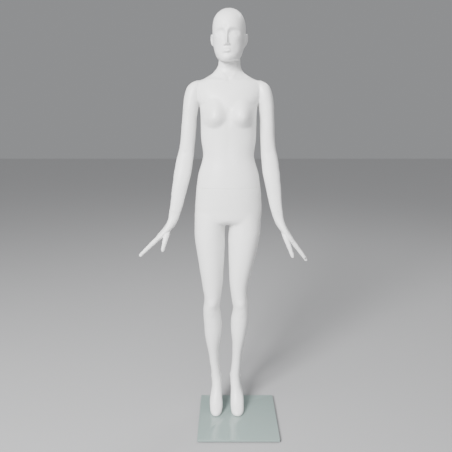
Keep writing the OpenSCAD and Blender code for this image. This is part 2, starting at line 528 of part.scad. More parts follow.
// ---- foot socket, spigot and glass plate
module foot_socket() {
  color(steel) at_glass() difference() {
    translate([0, 0, socket_z]) cylinder(d = rod_d + 5, h = socket_len);
    translate([0, 0, socket_z - 1]) cylinder(d = rod_d + 0.15, h = socket_len - 2);
    lock_bore(6);
  }
}
module foot_lock_screw() {
  color(zinc) at_glass() difference() {
    translate([0, rod_d / 2 + 0.2, lock_z]) rotate([-90, 0, 0]) cylinder(d = 6, h = 22);
    translate([0, rod_d / 2 + 18.2, lock_z]) rotate([-90, 0, 0]) cylinder(d = 3, h = 6, $fn = 6);
  }
}
module spigot_rod() {
  color(steel) at_glass() difference() {
    translate([0, 0, 1.5]) cylinder(d = rod_d, h = rod_len - 2.5);
    translate([0, 0, 1]) cylinder(d = 6, h = 21);
    translate([0, 0, rod_len - 3]) ring_cut();
  }
}
module ring_cut() {
  difference() {
    cylinder(d = rod_d + 2, h = 3);
    cylinder(d1 = rod_d + 1, d2 = rod_d - 3, h = 3);
  }
}
module spigot_flange() {
  color(steel) at_glass() difference() {
    union() {
      translate([0, 0, 1.5]) cylinder(d = 46, h = 4);
      translate([0, 0, 1.5]) cylinder(d = 20, h = 12);
    }
    translate([0, 0, 1]) cylinder(d = rod_d, h = 20);
  }
}
module glass_washer() {
  color([0.16, 0.16, 0.17]) at_glass() difference() {
    cylinder(d = 46, h = 1.5);
    translate([0, 0, -1]) cylinder(d = 6, h = 4);
  }
}
module glass_bush() {
  color([0.85, 0.85, 0.82]) translate([0, 0, pad_t]) difference() {
    cylinder(d = 14, h = glass_t);
    translate([0, 0, -1]) cylinder(d = 6, h = glass_t + 2);
  }
}
module glass_plate() {
  color([0.62, 0.72, 0.69, 0.5]) translate([0, spigot_back - glass_side / 2, pad_t]) difference() {
    linear_extrude(glass_t) rounded_square(glass_side, 4);
    translate([0, glass_side / 2 - spigot_back, -1]) cylinder(d = 14, h = glass_t + 2);
  }
}
module rounded_square(a, r) {
  union() {
    square([a, a - 2*r], center = true);
    square([a - 2*r, a], center = true);
    for (x = [-1, 1], y = [-1, 1]) translate([x, y] * (a / 2 - r)) circle(r);
  }
}
module clamp_disc() {
  color(steel) translate([0, 0, pad_t - 2.5]) difference() {
    cylinder(d = 50, h = 2.5);
    translate([0, 0, -1]) cylinder(d = 6, h = 5);
  }
}
module clamp_bolt() {
  color(zinc) difference() {
    union() {
      translate([0, 0, pad_t - 5]) cylinder(d = 16, h = 2.5);
      translate([0, 0, pad_t - 5]) cylinder(d = 6, h = glass_t + 5 + 18);
    }
    translate([0, 0, pad_t - 6]) cylinder(d = 4, h = 2.6, $fn = 6);
  }
}
module bolt_cover() {
  color([0.16, 0.16, 0.17]) difference() {
    cylinder(d = 50, h = pad_t - 2.5);
    translate([0, 0, pad_t - 5.1]) cylinder(d = 16.4, h = 4);
  }
}
module floor_pads() {
  a = glass_side / 2 - 26;
  color([0.82, 0.83, 0.82]) translate([0, spigot_back - glass_side / 2, 0])
    for (x = [-1, 1], y = [-1, 1]) translate([x * a, y * a, 0]) cylinder(d1 = 18, d2 = 22, h = pad_t);
}

head_shell();
torso_shell();
lower_shell();
arm_shell(-1);  // arm_shell_right
arm_shell(1);  // arm_shell_left
hand(-1);  // hand_right
hand(1);  // hand_left
torso_board();
hip_board();
waist_post_plate();
waist_socket();
torso_plate_screws();
hip_plate_screws();
shoulder_socket(-1);  // shoulder_socket_right
shoulder_socket(1);  // shoulder_socket_left
shoulder_screws();
arm_spindle(-1);  // arm_spindle_right
arm_spindle(1);  // arm_spindle_left
arm_screws(-1);  // arm_screws_right
arm_screws(1);  // arm_screws_left
wrist_plug(-1);  // wrist_plug_right
wrist_plug(1);  // wrist_plug_left
wrist_stud(-1);  // wrist_stud_right
wrist_stud(1);  // wrist_stud_left
foot_socket();
foot_lock_screw();
spigot_rod();
spigot_flange();
glass_washer();
glass_bush();
glass_plate();
clamp_disc();
clamp_bolt();
bolt_cover();
floor_pads();
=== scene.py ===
import bpy
import math
import numpy as np
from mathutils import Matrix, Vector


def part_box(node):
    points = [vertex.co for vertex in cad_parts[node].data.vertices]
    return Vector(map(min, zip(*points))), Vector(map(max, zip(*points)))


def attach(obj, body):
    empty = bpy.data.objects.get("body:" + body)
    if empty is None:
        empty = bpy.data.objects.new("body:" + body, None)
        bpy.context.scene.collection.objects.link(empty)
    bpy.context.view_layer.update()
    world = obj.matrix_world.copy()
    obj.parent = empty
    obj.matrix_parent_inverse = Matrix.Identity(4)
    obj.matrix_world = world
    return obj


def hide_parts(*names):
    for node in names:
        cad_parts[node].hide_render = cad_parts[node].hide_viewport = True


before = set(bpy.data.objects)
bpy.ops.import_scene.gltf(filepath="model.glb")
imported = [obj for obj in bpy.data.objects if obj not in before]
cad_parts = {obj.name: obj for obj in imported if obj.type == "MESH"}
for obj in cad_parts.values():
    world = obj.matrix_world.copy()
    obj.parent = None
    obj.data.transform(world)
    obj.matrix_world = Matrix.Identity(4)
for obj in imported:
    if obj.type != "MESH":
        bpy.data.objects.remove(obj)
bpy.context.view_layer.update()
bpy.ops.object.select_all(action="DESELECT")

# Lower body: hips, legs and raised feet, laid up in one mould from fibreglass and
# sprayed white. The sheet is wrapped round sections taken at each height, the hips and
# both legs are then grown together and smoothed, and the top is trimmed at the waist.
glass_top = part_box("glass_plate")[1].z
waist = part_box("lower_shell")[1].z
middle = -43           # the body's middle line lies this far, in millimetres, beside the spigot
shell_wall = 0.0035
seam_gap = 0.0003
waist_rim = 0.0014


def smooth_between(stations, key):
    """values of the stations at each key, on a smooth curve through them"""
    rows = np.array(sorted(stations), float)
    gaps = np.diff(rows[:, 0])[:, None]
    rise = np.diff(rows, axis=0) / gaps
    between = (rise[:-1] * gaps[1:] + rise[1:] * gaps[:-1]) / (gaps[1:] + gaps[:-1])
    lean = np.vstack([rise[:1], between, rise[-1:]])
    i = np.clip(np.searchsorted(rows[:, 0], key, side="right") - 1, 0, len(rows) - 2)
    h = gaps[i]
    t = ((key - rows[i, 0])[:, None]) / h
    return ((2 * t**3 - 3 * t**2 + 1) * rows[i] + (t**3 - 2 * t**2 + t) * h * lean[i]
            + (3 * t**2 - 2 * t**3) * rows[i + 1] + (t**3 - t**2) * h * lean[i + 1])


def wrapped_sheet(name, around, along, place):
    """a flat sheet rolled into a closed tube: place(turn, height) gives x, y, z for each vertex"""
    bpy.ops.mesh.primitive_grid_add(x_subdivisions=around, y_subdivisions=along, size=1, location=(0, 0, 0))
    piece = bpy.context.object
    piece.name = name
    flat = np.empty(len(piece.data.vertices) * 3, np.float32)
    piece.data.vertices.foreach_get("co", flat)
    flat = flat.reshape(-1, 3)
    x, y, z = place((flat[:, 0] + 0.5) * 2 * math.pi, flat[:, 1] + 0.5)
    piece.data.vertices.foreach_set("co", np.column_stack([x, y, z]).astype(np.float32).ravel())
    bpy.ops.object.mode_set(mode="EDIT")
    bpy.ops.mesh.select_mode(type="VERT")
    bpy.ops.mesh.select_all(action="SELECT")
    bpy.ops.mesh.remove_doubles(threshold=0.00005)
    bpy.ops.mesh.select_all(action="DESELECT")
    bpy.ops.mesh.select_non_manifold(extend=False)
    bpy.ops.mesh.edge_face_add()
    bpy.ops.mesh.select_all(action="SELECT")
    bpy.ops.mesh.normals_make_consistent(inside=False)
    bpy.ops.object.mode_set(mode="OBJECT")
    return piece


def soft_section(turn, across, middle_y, front_y, back_y, middle_x, squareness=2.2):
    """an oval section: the widest line lies at middle_y, the front at front_y, the back at back_y"""
    c, s = np.cos(turn), np.sin(turn)
    x = middle_x + across * np.sign(c) * np.abs(c) ** (2 / squareness)
    deep = np.where(s < 0, middle_y - front_y, back_y - middle_y)
    y = middle_y + deep * np.sign(s) * np.abs(s) ** (2 / squareness)
    return x, y


def swell(u, v):
    """a soft round hill of height 1 and radius 1"""
    return np.clip(1 - u**2 - v**2, 0, None) ** 2


# [height, half width, widest y, front y, back y] of the hips, millimetres above the glass
HIPS = [[888, 96, 16, -20, 60], [894, 128, 15, -56, 88], [902, 146, 15, -76, 106], [912, 150, 15, -82, 116],
        [930, 150, 15, -86, 124], [950, 149, 15, -87, 126], [976, 148, 13, -89, 124],
        [1003, 145, 10, -90, 117], [1030, 143, 6, -91, 108], [1057, 140, 3, -91, 99],
        [1083, 136, 0, -90, 91]]


def hips_surface(turn, rise):
    z = HIPS[0][0] + rise * (HIPS[-1][0] - HIPS[0][0])
    r = smooth_between(HIPS, z)
    x, y = soft_section(turn, r[:, 1], r[:, 2], r[:, 3], r[:, 4], 0, 2.35)
    x = x - 43 - 5 * np.clip((950 - z) / 60, 0, 1)
    dx = x + 45
    y = np.where(y > 30, y + 9 * swell((np.abs(dx) - 66) / 62, (z - 938) / 80)
                 - 26 * swell(dx / 26, 0) * np.clip((1000 - z) / 100, 0, 1), y)
    y = np.where(y < -30, y + 16 * swell(dx / 34, 0) * np.clip((915 - z) / 27, 0, 1), y)
    return x / 1000, y / 1000, z / 1000 + glass_top


# [height, widest y, front y, back y] of both legs and feet
LEG_SIDE = [[-1, -66, -94, -44], [0, -66, -101, -42], [6, -64, -108, -34], [14, -60, -108, -23],
            [24, -54, -98, -10], [36, -46, -82, 6], [48, -36, -69, 21], [60, -26, -59, 37],
            [70, -16, -51, 51], [78, -10, -45, 66], [84, -4, -41, 80], [91, 0, -37, 87], [104, 6, -30, 89],
            [118, 12, -24, 83], [134, 16, -18, 71], [149, 18, -15, 59], [165, 19, -14, 51],
            [181, 20, -14, 47], [212, 19, -15, 45], [255, 18, -21, 46], [285, 16, -27, 49],
            [316, 14, -34, 53], [348, 12, -41, 58], [378, 10, -46, 62], [409, 8, -50, 63],
            [439, 4, -54, 59], [469, -2, -58, 51], [499, -6, -65, 44], [527, -8, -70, 42],
            [557, -9, -70, 45], [585, -9, -71, 49], [615, -8, -73, 54], [672, -4, -77, 64],
            [728, 0, -80, 76], [784, 5, -82, 88], [840, 8, -82, 99], [867, 11, -81, 105],
            [893, 14, -80, 110], [940, 15, -76, 112]]
# [height, centre x, half width]
RIGHT_LEG = [[-1, -100, 20], [0, -100, 22], [12, -100, 28], [30, -100, 30], [50, -101, 29], [75, -99, 26],
             [92, -98, 24], [118, -99, 23], [149, -102, 22], [181, -105, 21], [212, -109, 22],
             [255, -112, 24], [285, -114, 27], [316, -115, 32], [348, -115, 37], [378, -115, 40],
             [409, -115, 41], [439, -117, 41], [469, -119, 40], [499, -121, 37], [527, -117, 37],
             [557, -115, 39], [585, -116, 43], [615, -116, 47], [643, -117, 50], [672, -119, 53],
             [700, -120, 56], [728, -121, 59], [757, -123, 62], [784, -124, 65], [812, -126, 67],
             [840, -127, 68], [867, -127, 69], [893, -126, 70], [940, -120, 66]]
LEFT_LEG = [[-1, 0, 20], [0, 0, 23], [12, 0, 30], [30, -1, 31], [50, -1, 31], [75, -3, 28], [92, -6, 25],
            [118, -9, 24], [149, -10, 23], [181, -7, 22], [212, -4, 22], [255, -1, 23], [285, 1, 25],
            [316, 4, 28], [348, 6, 33], [378, 7, 37], [409, 9, 40], [439, 11, 41], [469, 14, 39],
            [499, 15, 36], [527, 12, 38], [557, 8, 38], [585, 6, 40], [615, 6, 43], [643, 8, 47],
            [672, 11, 51], [700, 14, 55], [728, 17, 59], [757, 20, 63], [784, 23, 66], [812, 25, 69],
            [840, 28, 71], [867, 31, 72], [893, 32, 71], [940, 28, 66]]


def leg_surface(stations, outward):
    """outward is -1 for the figure's right leg, 1 for the left"""
    def place(turn, rise):
        z = np.where(rise < 0.35, rise / 0.35 * 160, 160 + (rise - 0.35) / 0.65 * 780)
        side = smooth_between(LEG_SIDE, z)
        width = smooth_between(stations, z)
        x, y = soft_section(turn, width[:, 2], side[:, 1], side[:, 2], side[:, 3], 0, 2.15)
        front = y < side[:, 1]
        knee = (3.5 * swell(x / 24, (z - 528) / 27) - 2.5 * swell((np.abs(x) - 27) / 10, (z - 528) / 30)
                + 2 * swell(x / 14, (z - 478) / 20))
        y = y - np.where(front, knee, 0)
        ankle = 3.2 * swell((y - 22) / 13, (z - 138 - 7 * (np.sign(x) != outward)) / 15)
        x = x + np.sign(x) * ankle
        x = x - np.where(np.abs(x) > 10, np.sign(x) * 3.0 * swell((y - 38) / 13, (z - 150) / 34), 0)
        return (x + width[:, 1]) / 1000, y / 1000, z / 1000 + glass_top + 0.0005
    return place


def grown_together(pieces, name, pore, rounds):
    """joins the pieces, grows one even skin over them and eases the creases where they meet"""
    bpy.ops.object.select_all(action="DESELECT")
    for p in pieces:
        p.select_set(True)
    bpy.context.view_layer.objects.active = pieces[0]
    bpy.ops.object.join()
    whole = bpy.context.object
    whole.name = name
    remesh = whole.modifiers.new("skin", "REMESH")
    remesh.mode = "VOXEL"
    remesh.voxel_size = pore
    bpy.ops.object.modifier_apply(modifier="skin")
    ease = whole.modifiers.new("ease", "SMOOTH")
    ease.factor = 0.5
    ease.iterations = rounds
    bpy.ops.object.modifier_apply(modifier="ease")
    return whole


def pick(piece):
    """makes the piece the only selected one, with nothing selected in its mesh"""
    bpy.ops.object.select_all(action="DESELECT")
    piece.select_set(True)
    bpy.context.view_layer.objects.active = piece
    bpy.ops.object.mode_set(mode="EDIT")
    bpy.ops.mesh.select_all(action="DESELECT")
    bpy.ops.object.mode_set(mode="OBJECT")


def select_where(piece, test):
    """selects the vertices that the test finds, given their x, y and z in millimetres above the glass"""
    pick(piece)
    co = np.empty(len(piece.data.vertices) * 3, np.float32)
    piece.data.vertices.foreach_get("co", co)
    co = co.reshape(-1, 3)
    found = test(co[:, 0] * 1000 - middle, co[:, 1] * 1000, (co[:, 2] - glass_top) * 1000)
    piece.data.vertices.foreach_set("select", found)
    bpy.ops.object.mode_set(mode="EDIT")
    bpy.ops.mesh.select_mode(type="VERT")


def flat_cut(piece, point, normal, within, wall=None, deep=0.0, rim=0.0008, merge=0.0016):
    """saws the part of the piece that the test finds on a plane, keeps the side the normal points
    away from, closes the cut with a flat face, softens its rim, and sinks it behind a wall"""
    select_where(piece, within)
    bpy.ops.mesh.bisect(plane_co=point, plane_no=normal, use_fill=False, clear_outer=True)
    bpy.ops.mesh.select_all(action="DESELECT")
    bpy.ops.mesh.select_non_manifold(extend=False, use_wire=False, use_multi_face=False,
                                     use_non_contiguous=False, use_verts=False)
    bpy.ops.mesh.remove_doubles(threshold=merge)
    bpy.ops.mesh.select_all(action="DESELECT")
    bpy.ops.mesh.select_non_manifold(extend=False, use_wire=False, use_multi_face=False,
                                     use_non_contiguous=False, use_verts=False)
    bpy.ops.mesh.edge_face_add()
    bpy.ops.mesh.select_mode(type="FACE")
    if rim:
        bpy.ops.mesh.bevel(offset=rim, offset_type="OFFSET", segments=2, affect="EDGES")
    bpy.ops.object.mode_set(mode="OBJECT")
    if wall:
        flat = max(piece.data.polygons, key=lambda f: f.area).index
        pick(piece)
        piece.data.polygons[flat].select = True
        bpy.ops.object.mode_set(mode="EDIT")
        bpy.ops.mesh.select_mode(type="FACE")
        bpy.ops.mesh.inset(thickness=wall, depth=0)
        bpy.ops.mesh.extrude_region_move(TRANSFORM_OT_translate={"value": tuple(-deep * c for c in normal)})
        bpy.ops.object.mode_set(mode="OBJECT")


def effect_group(name, outputs):
    """an empty node group that starts from the object's own coordinates"""
    group = bpy.data.node_groups.new(name, "ShaderNodeTree")
    for label, kind in outputs:
        group.interface.new_socket(label, in_out="OUTPUT", socket_type=kind)
    return group, group.nodes.new("ShaderNodeTexCoord"), group.nodes.new("NodeGroupOutput")


def fine_noise(tree, source, scale, detail, low, high):
    """noise over the piece, spread between two values"""
    noise = tree.nodes.new("ShaderNodeTexNoise")
    noise.inputs["Scale"].default_value = scale
    noise.inputs["Detail"].default_value = detail
    spread = tree.nodes.new("ShaderNodeMapRange")
    spread.inputs["From Min"].default_value = 0.3
    spread.inputs["From Max"].default_value = 0.7
    spread.inputs["To Min"].default_value = low
    spread.inputs["To Max"].default_value = high
    tree.links.new(source, noise.inputs["Vector"])
    tree.links.new(noise.outputs["Fac"], spread.inputs["Value"])
    return spread.outputs["Result"]


def plain_finish(name, colour, roughness, metallic=0.0):
    material = bpy.data.materials.new(name)
    material.use_nodes = True
    shader = material.node_tree.nodes["Principled BSDF"]
    shader.inputs["Base Color"].default_value = (*colour, 1)
    shader.inputs["Roughness"].default_value = roughness
    shader.inputs["Metallic"].default_value = metallic
    return material, material.node_tree, shader


# sprayed two-part enamel, rubbed down to a soft sheen: a trace of orange peel and uneven gloss
enamel, tree, shader = plain_finish("white_enamel", (0.80, 0.80, 0.795), 0.38)
coords = tree.nodes.new("ShaderNodeTexCoord").outputs["Object"]
shader.inputs["IOR"].default_value = 1.48
tree.links.new(fine_noise(tree, coords, 9, 4, 0.33, 0.44), shader.inputs["Roughness"])
tint = tree.nodes.new("ShaderNodeMixRGB")
tint.inputs["Color1"].default_value = (0.805, 0.805, 0.80, 1)
tint.inputs["Color2"].default_value = (0.775, 0.775, 0.765, 1)
tree.links.new(fine_noise(tree, coords, 3.5, 5, 0, 1), tint.inputs["Fac"])
tree.links.new(tint.outputs["Color"], shader.inputs["Base Color"])
peel = tree.nodes.new("ShaderNodeBump")
peel.inputs["Strength"].default_value = 0.12
peel.inputs["Distance"].default_value = 0.0002
tree.links.new(fine_noise(tree, coords, 420, 1, 0, 1), peel.inputs["Height"])
tree.links.new(peel.outputs["Normal"], shader.inputs["Normal"])


hip_recess = 0.06      # the closing board hangs inside the open top
hips = wrapped_sheet("hips", 128, 60, hips_surface)
leg_right = wrapped_sheet("leg_right", 72, 300, leg_surface(RIGHT_LEG, -1))
leg_left = wrapped_sheet("leg_left", 72, 300, leg_surface(LEFT_LEG, 1))
lower = grown_together([hips, leg_right, leg_left], "lower_body", 0.0038, 7)
for low, high, least, rounds in ((845, 950, 68, 50), (860, 925, 100, 50), (870, 925, 20, 12)):
    select_where(lower, lambda x, y, z: (z > low) & (z < high) & (np.abs(x + 3) > least))
    bpy.ops.mesh.vertices_smooth(factor=0.5, repeat=rounds)
    bpy.ops.object.mode_set(mode="OBJECT")
select_where(lower, lambda x, y, z: (z > 872) & (z < 910) & (np.abs(x + 3) < 45))
bpy.ops.mesh.vertices_smooth(factor=0.5, repeat=12)
bpy.ops.object.mode_set(mode="OBJECT")
flat_cut(lower, (0, 0, waist), (0, 0, 1), lambda x, y, z: z > 1000,
         wall=shell_wall, deep=hip_recess, rim=waist_rim)
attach(lower, "lower")
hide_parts("lower_shell")
bpy.ops.object.shade_smooth_by_angle(angle=math.radians(35))
lower.data.materials.append(enamel)

# Torso and arms: white fibreglass shells from one pattern, so their surfaces run on over the
# seams. The trunk and both arms are wrapped round their sections and grown together, then cut
# on the leaning shoulder seams where the arms come off, at the wrists and at the waist.
seam_height, seam_half, seam_lean = 1454.5, 127, math.radians(2.6)
armpit = 1262
# [height, half width, widest y, front y, back y]
TRUNK = [[1010, 144, 8, -91, 113], [1030, 143, 6, -91, 108], [1057, 140, 3, -91, 99],
         [1083, 136, 0, -90, 91], [1109, 132, 0, -88, 84], [1136, 124, -1, -86, 78],
         [1162, 116, -2, -83, 74], [1188, 110, -2, -81, 72], [1213, 111, -1, -80, 73],
         [1239, 115, 0, -80, 76], [1264, 118, 2, -81, 80], [1315, 119, 6, -85, 88],
         [1365, 120, 10, -86, 96], [1391, 122, 14, -83, 99], [1400, 122.6, 15, -80, 100],
         [1407, 124.6, 16, -78, 100], [1415, 130, 17, -76, 101], [1428, 137, 19, -72, 102],
         [1440, 142, 20, -68, 102], [1455, 147, 22, -62, 101], [1470, 150, 24, -55, 100],
         [1485, 149, 26, -47, 97], [1495, 144, 27, -41, 94], [1502, 135, 28, -36, 91],
         [1508, 122, 29, -31, 88], [1514, 107, 30, -27, 86], [1525, 87, 31, -21, 82],
         [1536, 70, 31, -17, 78], [1546, 60, 30, -16, 74], [1556, 53, 28, -16, 70], [1566, 49, 26, -19, 68]]


def breast(dx, z):
    """height of one breast: long slope above, short full curve below"""
    dz = z - 1352
    r2 = (dx / 54) ** 2 + (dz / np.where(dz > 0, 78, 47)) ** 2
    full = np.clip(1 - r2, 0, None)
    return 31 * full ** 1.45 + 1.4 * swell(dx / 8, (z - 1350) / 8)


def ridge(across, width):
    return np.exp(-(across / width) ** 2)


def trunk_surface(turn, rise):
    z = TRUNK[0][0] + rise * (TRUNK[-1][0] - TRUNK[0][0])
    r = smooth_between(TRUNK, z)
    x, y = soft_section(turn, r[:, 1], r[:, 2], r[:, 3], r[:, 4], 0, 2.2)
    ax = np.abs(x)
    front = y < r[:, 2] - 5
    push = breast(ax - 63, z)
    push -= 3.5 * swell(x / 6, (z - 1127) / 9) - 1.0 * swell(x / 14, (z - 1127) / 17)    # navel
    push -= 0.9 * ridge(x, 12) * swell(0 * x, (z - 1235) / 110)                     # line of the belly
    push += 0.8 * ridge(ax - 36, 22) * swell(0 * x, (z - 1210) / 90)
    push -= 4.0 * swell(x / 16, (z - 1350) / 60)                                    # between the breasts
    collar_bone = 1502 + 0.10 * (ax - 20)
    push += 3.4 * ridge(z - collar_bone, 6) * np.clip((ax - 12) / 14, 0, 1) * np.clip((112 - ax) / 30, 0, 1)
    push -= 3.2 * ridge(z - collar_bone - 15, 8) * np.clip((ax - 22) / 20, 0, 1) * np.clip((90 - ax) / 25, 0, 1)
    push -= 4.5 * swell(x / 12, (z - 1508) / 15)                                    # notch of the neck
    cord = ridge(ax - 8 - 0.75 * (z - 1508), 6)                                     # sides of the throat
    push += 2.4 * cord * np.clip((z - 1503) / 12, 0, 1) * np.clip((1544 - z) / 16, 0, 1)
    rear = y > r[:, 2] + 5
    pull = -4.0 * ridge(x, 15) * np.clip((z - 1040) / 60, 0, 1) * np.clip((1490 - z) / 70, 0, 1)    # spine
    pull += 1.2 * ridge(ax - 34, 22) * swell(0 * x, (z - 1180) / 120)
    shoulder_blade = 5.5 * swell((ax - 70) / 42, (z - 1418) / 62) - 2.5 * swell((ax - 44) / 20, (z - 1405) / 55)
    pull += shoulder_blade
    pull -= 2.2 * swell((ax - 36) / 11, (z - 1062) / 13)
    y = np.where(front, y - push * np.clip((r[:, 2] - 5 - y) / 12, 0, 1), y)
    y = np.where(rear, y + pull * np.clip((y - r[:, 2] - 5) / 15, 0, 1), y)
    return (x + middle) / 1000, y / 1000, z / 1000 + glass_top


# [height, inner x, outer x, front y, back y] of an arm, x from the middle of the body
ARM = [[925, 196, 244, -48, -14], [951, 189, 237, -48, -14], [977, 181, 234, -46, -6],
       [1004, 175, 232, -44, 1], [1030, 169, 231, -42, 8], [1057, 163, 229, -41, 14],
       [1083, 157, 226, -39, 20], [1109, 151, 225, -36, 26], [1136, 147, 221, -32, 32],
       [1162, 145, 218, -29, 36], [1188, 142, 213, -26, 40], [1213, 141, 207, -24, 43],
       [1264, 138, 201, -24, 50], [1315, 136, 199, -26, 58], [1353, 135, 197, -27, 64],
       [1378, 132, 196, -29, 68], [1401, 128.5, 195, -30, 72], [1410, 125.5, 194, -30, 74],
       [1420, 121.5, 193, -30, 75], [1440, 118, 190, -30, 76], [1465, 113, 183, -27, 75],
       [1478, 111, 178, -23, 72], [1490, 111, 168, -17, 67], [1500, 113, 154, -6, 59],
       [1507, 119, 137, 10, 47]]
wrist_height, wrist_tilt = 951, math.radians(12)
wrist_y = -0.031
right_splay, left_splay = 0.048, 0     # millimetres outwards for each millimetre down from the shoulder


def wrist_across(splay):
    """how far the wrist's middle lies from the body's, in millimetres"""
    return 213 + 450 * splay


def arm_surface(side, splay):
    def place(turn, rise):
        z = ARM[0][0] + rise * (ARM[-1][0] - ARM[0][0])
        r = smooth_between(ARM, z)
        half = (r[:, 2] - r[:, 1]) / 2
        mid_y = (r[:, 3] + r[:, 4]) / 2
        x, y = soft_section(turn, half, mid_y, r[:, 3], r[:, 4], 0, 2.15)
        elbow = 3.5 * swell(x / 18, (z - 1196) / 26) + 1.5 * swell(x / 30, (z - 1330) / 80)
        y = y + np.where(y > mid_y, elbow, 0)
        crook = 1.5 * swell(x / 26, (z - 1300) / 70) - 2.0 * swell(x / 24, (z - 1205) / 20)
        y = y - np.where(y < mid_y, crook, 0)
        x = x + np.where(x > 10, 2.0 * swell((y - 10) / 12, (z - 972) / 14), 0)
        lean = np.tan(wrist_tilt) * np.clip((1136 - z) / (1136 - wrist_height), 0, 1.1)
        mid = (r[:, 1] + r[:, 2]) / 2 + np.clip(1401 - z, 0, None) * splay
        return (middle + side * (mid + x)) / 1000, y / 1000, (z + lean * x) / 1000 + glass_top
    return place


trunk = wrapped_sheet("trunk", 176, 220, trunk_surface)
arm_pieces = [wrapped_sheet("arm", 64, 220, arm_surface(-1, right_splay)),
              wrapped_sheet("arm", 64, 220, arm_surface(1, left_splay))]
upper = grown_together([trunk] + arm_pieces, "upper_body", 0.0031, 9)


def copy_of(piece, name):
    pick(piece)
    bpy.ops.object.duplicate(linked=False)
    bpy.context.object.name = name
    return bpy.context.object


def arm_side(x, z):
    """true where a point below the armpit belongs to an arm and not to the trunk"""
    return (z < armpit) & (np.abs(x) > 127 + np.clip(1185 - z, 0, None) * 0.21)


torso = copy_of(upper, "torso")
select_where(torso, lambda x, y, z: arm_side(x, z))
bpy.ops.mesh.delete(type="VERT")
bpy.ops.object.mode_set(mode="OBJECT")
for side, name, splay in ((-1, "right", right_splay), (1, "left", left_splay)):
    seam = ((middle + side * seam_half) / 1000, 0, seam_height / 1000 + glass_top)
    outward = (side * math.cos(seam_lean), 0, -math.sin(seam_lean))
    flat_cut(torso, seam, outward, lambda x, y, z: (z > 1230) & (x * side > 0))
    arm = copy_of(upper, "arm_" + name)
    select_where(arm, lambda x, y, z: (x * side < 20) | (z < armpit) & ~arm_side(x, z))
    bpy.ops.mesh.delete(type="VERT")
    bpy.ops.object.mode_set(mode="OBJECT")
    inner = tuple(s + seam_gap * o for s, o in zip(seam, outward))
    flat_cut(arm, inner, tuple(-o for o in outward), lambda x, y, z: z > 1230)
    tilt_out = (side * math.sin(wrist_tilt), 0, -math.cos(wrist_tilt))
    wrist = ((middle + side * wrist_across(splay)) / 1000, wrist_y, wrist_height / 1000 + glass_top)
    flat_cut(arm, wrist, tilt_out, lambda x, y, z: z < 1100)
    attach(arm, "arm_" + name)
    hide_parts("arm_shell_" + name)
    pick(arm)
    bpy.ops.object.shade_smooth_by_angle(angle=math.radians(35))
    arm.data.materials.append(enamel)
bpy.data.objects.remove(upper)
board_recess = 0.0135  # the closing board and its clearance
flat_cut(torso, (0, 0, waist + seam_gap), (0, 0, -1), lambda x, y, z: z < 1100,
         wall=shell_wall, deep=board_recess, rim=waist_rim)

# Head: fibreglass, laid up in its own mould and bonded to the torso. The skull and the neck are
# wrapped round their sections, the face is worked into the front, and the ears are set on
# before the skin is grown. It is turned a little to the figure's right.
head_middle = -40
head_turn = math.radians(6)
bond_height = 1546
# [height, half width, widest y, front y, back y]
SKULL = [[1525, 87, 31, -21, 82], [1536, 70, 31, -17, 78], [1546, 60, 30, -16, 74], [1556, 53, 28, -16, 70],
         [1566, 49, 26, -18, 67], [1576, 46.5, 23, -19, 66], [1588, 45.5, 20, -20, 66],
         [1596, 45.5, 17, -23, 66], [1600, 46, 10, -46, 67], [1604, 47, 4, -65, 68], [1608, 49, 2, -76, 69],
         [1614, 52.5, 1, -82, 72], [1624, 56.5, 1, -84, 77], [1638, 61, 2, -86, 84], [1660, 65, 4, -87, 92],
         [1681, 67, 6, -89, 97], [1704, 68, 8, -90, 100], [1728, 67, 10, -87, 100], [1751, 61, 11, -75, 92],
         [1764, 54, 12, -62, 83], [1776, 43, 13, -44, 68], [1785, 30, 14, -25, 50], [1790, 16, 14, -8, 33],
         [1792, 4, 14, 8, 20]]
NOSE = [[1400, 0, 9], [1625, 0, 9], [1630, 0, 9], [1633.5, 5, 10], [1637, 14, 9.5], [1641, 18.5, 7.5],
        [1649, 16.5, 6.2], [1661, 12.5, 5.6], [1673, 9, 5.6], [1684, 7, 7], [1695, 4, 11], [1708, 0, 16],
        [1900, 0, 16]]


def face(x, z):
    """how far the features stand out of the plain oval front"""
    ax = np.abs(x)
    nose = smooth_between(NOSE, z)
    out = np.clip(nose[:, 1], 0, None) * np.exp(-np.abs(x / nose[:, 2]) ** 2.2)
    out += 6.0 * swell((ax - 9.5) / 6.5, (z - 1637) / 6.5) - 3.5 * swell((ax - 5.5) / 3.2, (z - 1631.5) / 3)
    brow = ridge(z - 1704 + 0.004 * x * x, 9)
    out += 3.4 * brow * np.clip((58 - ax) / 26, 0, 1) * np.clip((ax + 2) / 12, 0.3, 1)
    out -= 8.0 * swell((ax - 29) / 27, (z - 1685) / 20) + 2.0 * swell((ax - 13) / 10, (z - 1681) / 15)
    out += 3.4 * swell((ax - 31) / 15, (z - 1681) / 11)
    out += 3.0 * swell((ax - 42) / 26, (z - 1660) / 22)
    out -= 2.0 * swell((ax - 36) / 20, (z - 1622) / 24)
    out += 3.4 * swell(x / 30, (z - 1613) / 19)
    bow = 1620.5 + 1.0 * np.exp(-((ax - 4) / 4) ** 2) - 0.012 * x * x
    out += 3.8 * ridge(z - bow, 3.4) * np.clip((18 - ax) / 11, 0, 1) - 1.0 * swell(x / 3.2, (z - 1627) / 6)
    out += 5.6 * ridge(z - 1611 - 0.014 * x * x, 4.2) * np.clip((17 - ax) / 10, 0, 1)
    out -= 3.4 * ridge(z - 1616.2 + 0.003 * x * x, 1.6) * np.clip((18 - ax) / 5, 0, 1)
    out -= 1.0 * swell((ax - 18) / 4, (z - 1615.5) / 5)
    out -= 3.4 * ridge(z - 1602.5, 4.5) * np.clip((24 - ax) / 16, 0, 1)
    out += 5.0 * swell(x / 30, (z - 1590) / 17)
    return out


